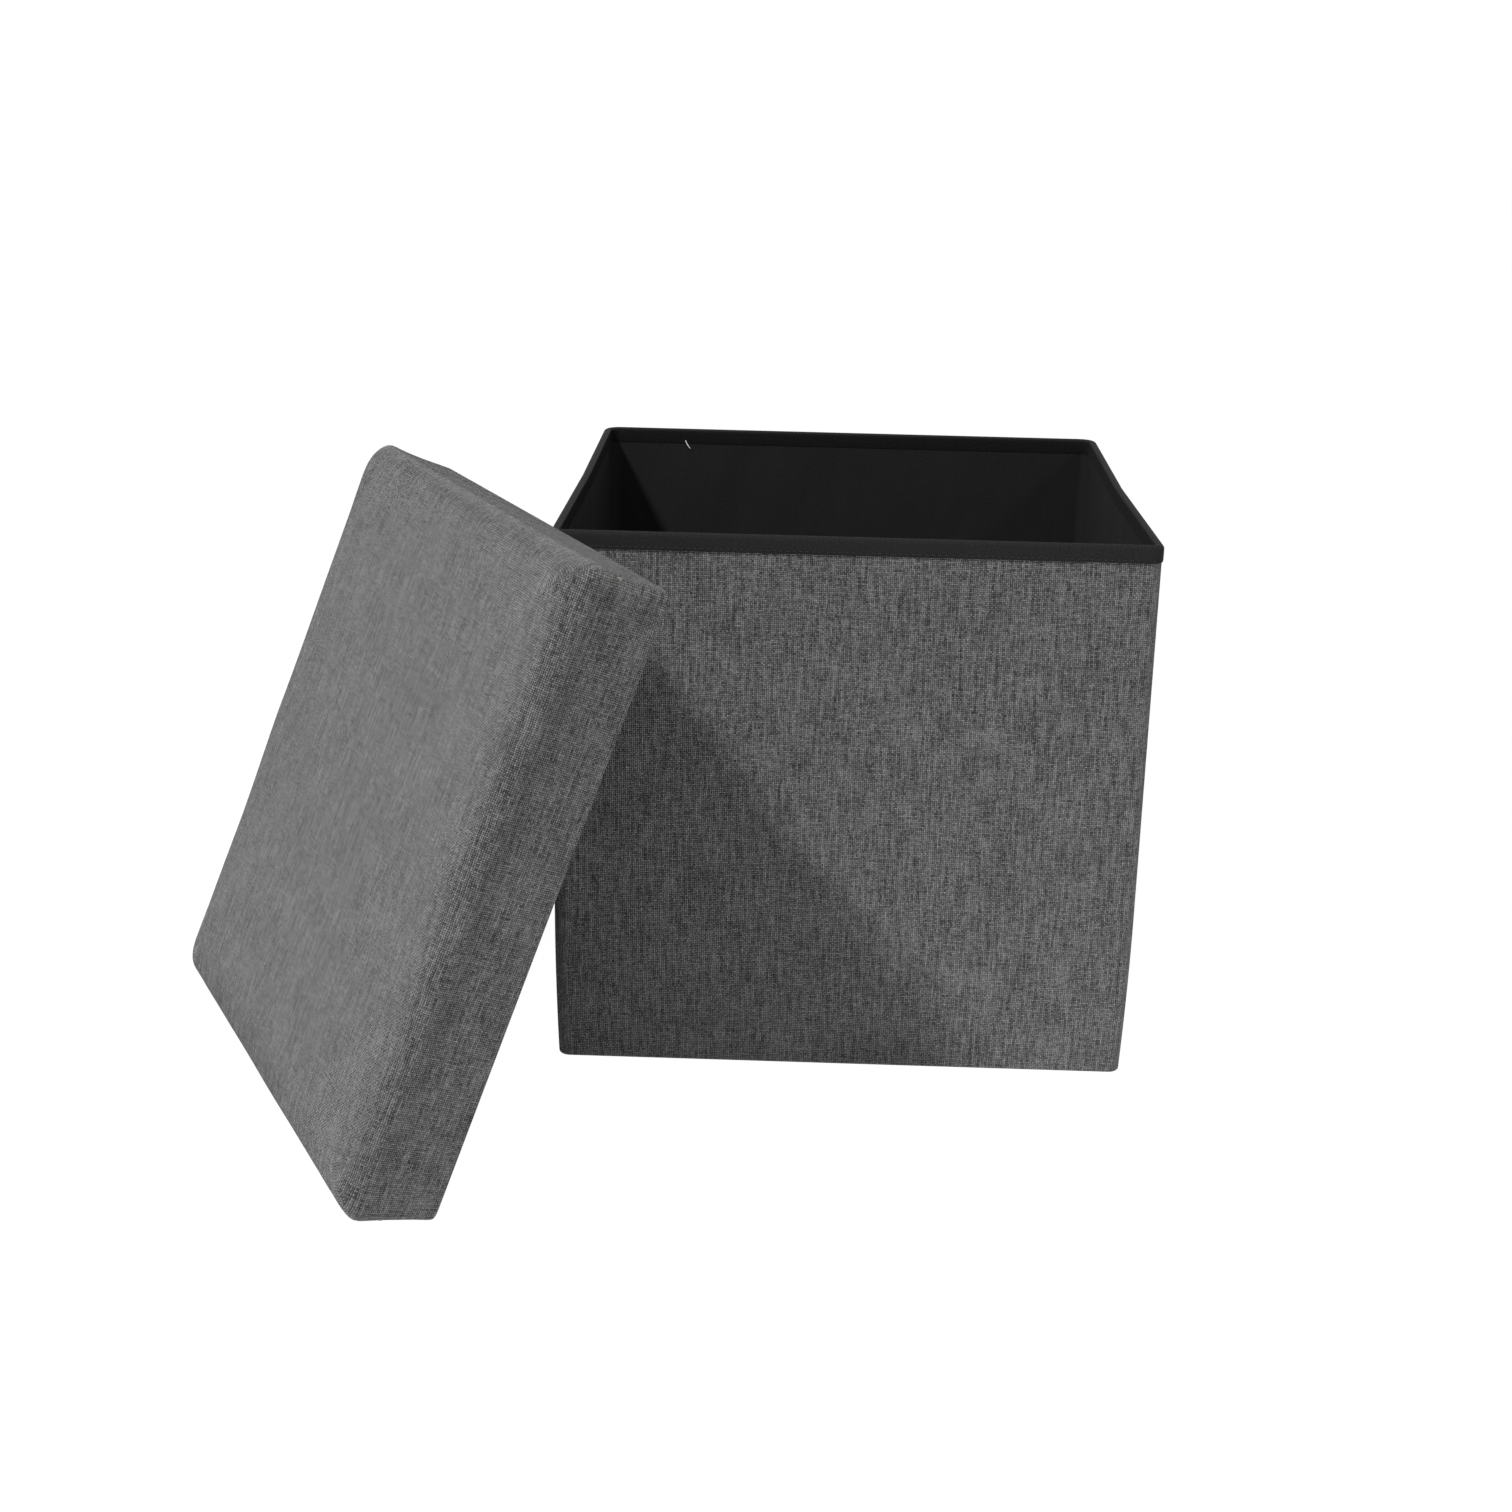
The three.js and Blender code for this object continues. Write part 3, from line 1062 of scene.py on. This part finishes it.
SKIRT_SIDES = {"lower": 0, "near": 1, "upper": 2, "far": 3}
skirt_top = 30 * MM
lid_foam()
for side, quarter in SKIRT_SIDES.items():
    skirt_strip(
        f"lid_skirt_stiffener_{side}", [quarter], 6.5 * MM, 8.0 * MM, 1.5 * MM, skirt_top,
        lid_half - 15 * MM, board, [f"lid_skirt_board_{side}"],
    )
skirt_strip(
    "lid_skirt_lining", SKIRT_SIDES.values(), 8.5 * MM, 8.9 * MM, 3 * MM, skirt_top, lid_half - 9 * MM,
    lining, [f"lid_skirt_lining_{side}" for side in SKIRT_SIDES],
)
underside_cloth()
print("skirt sides", len(SKIRT_SIDES))

# %% [markdown]
# ## The lid's board
# The board under the pad keeps its CAD shape, and only needs a finish.

# %% Finish for the lid's board
lid_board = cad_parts["lid_board"]
lid_board.data.materials.clear()
lid_board.data.materials.append(board)

# %% [markdown]
# ## Camera
# The view is from the front, a little left of the middle and looking down. The camera's place and angles
# are given as plain numbers, in the object's own frame.

# %% Camera
camera_place = Vector((-0.0316, -1.5614, 0.6594))
camera_turn = -0.02035
camera_tilt = 0.31378
camera_roll = 0.02278
camera_lens = 53.74


def make_camera():
    camera = bpy.data.cameras.new("camera")
    camera.lens = camera_lens
    camera.sensor_width = 36
    holder = bpy.data.objects.new("camera", camera)
    scene.collection.objects.link(holder)
    turn = Matrix.Rotation(-camera_turn, 4, "Z") @ Matrix.Rotation(math.pi / 2 - camera_tilt, 4, "X")
    roll = Matrix.Rotation(camera_roll, 4, "Z")
    holder.matrix_world = Matrix.Translation(camera_place) @ turn @ roll
    scene.camera = holder


make_camera()

# %% [markdown]
# ## Light and floor
# A soft key light stands high at the front left, a weak one high at the right, and a white surrounding
# fills the shadows. The floor is plain and pale, and throws some light back at the box's lower half.

# %% Lights
def area_light(name, direction, distance, size, power):
    light = bpy.data.lights.new(name, "AREA")
    light.shape = "DISK"
    light.size = size
    light.energy = power
    holder = bpy.data.objects.new(name, light)
    scene.collection.objects.link(holder)
    away = Vector(direction).normalized()
    turn = away.to_track_quat("Z", "Y").to_matrix().to_4x4()
    holder.matrix_world = Matrix.Translation(away * distance) @ turn


area_light("key", (-0.431, -0.392, 0.812), 8, 0.7, 900)
area_light("side", (0.62, -0.45, 0.64), 8, 1.2, 130)


def surroundings():
    """A white world: bright to the camera, and weaker as a light."""
    world = bpy.data.worlds.new("studio")
    scene.world = world
    world.use_nodes = True
    nodes = world.node_tree.nodes
    nodes["Background"].inputs["Color"].default_value = (1, 1, 1, 1)
    path = nodes.new("ShaderNodeLightPath")
    strength = nodes.new("ShaderNodeMapRange")
    strength.inputs["To Min"].default_value = 0.5
    strength.inputs["To Max"].default_value = 1.1
    world.node_tree.links.new(path.outputs["Is Camera Ray"], strength.inputs["Value"])
    world.node_tree.links.new(strength.outputs[0], nodes["Background"].inputs["Strength"])


surroundings()


def pale_floor():
    """A level disk, white to the camera. As a light it is pale, and brightest in front of the box."""
    bm = bmesh.new()
    bmesh.ops.create_circle(bm, cap_ends=True, radius=12, segments=64)
    mesh = bpy.data.meshes.new("floor")
    bm.to_mesh(mesh)
    bm.free()
    floor = bpy.data.objects.new("floor", mesh)
    floor.location.z = -0.0005
    scene.collection.objects.link(floor)
    material, nodes = new_material("pale_floor", 0.9, (0.55, 0.55, 0.55))
    glow = nodes.add("ShaderNodeEmission")
    glow.inputs["Strength"].default_value = 1.02
    coords = nodes.tree.nodes.new("ShaderNodeTexCoord").outputs["Object"]
    centred = nodes.add("ShaderNodeMapping", Vector=coords, Location=(-0.3, 0.75, 0), Scale=(1.5,) * 3)
    near = nodes.add("ShaderNodeTexGradient", Vector=centred.outputs[0])
    near.gradient_type = "SPHERICAL"
    nodes.shader.inputs["Emission Color"].default_value = (1, 1, 1, 1)
    nodes.put(nodes.shader.inputs["Emission Strength"], nodes.math("MULTIPLY", near.outputs["Fac"], 1.9))
    path = nodes.tree.nodes.new("ShaderNodeLightPath")
    share = nodes.math("MULTIPLY", path.outputs["Is Camera Ray"], 0.97)
    mix = nodes.add("ShaderNodeMixShader", Fac=share)
    nodes.tree.links.new(nodes.shader.outputs[0], mix.inputs[1])
    nodes.tree.links.new(glow.outputs[0], mix.inputs[2])
    nodes.tree.links.new(mix.outputs[0], nodes.tree.nodes["Material Output"].inputs["Surface"])
    mesh.materials.append(material)


pale_floor()
scene.view_settings.view_transform = "Standard"
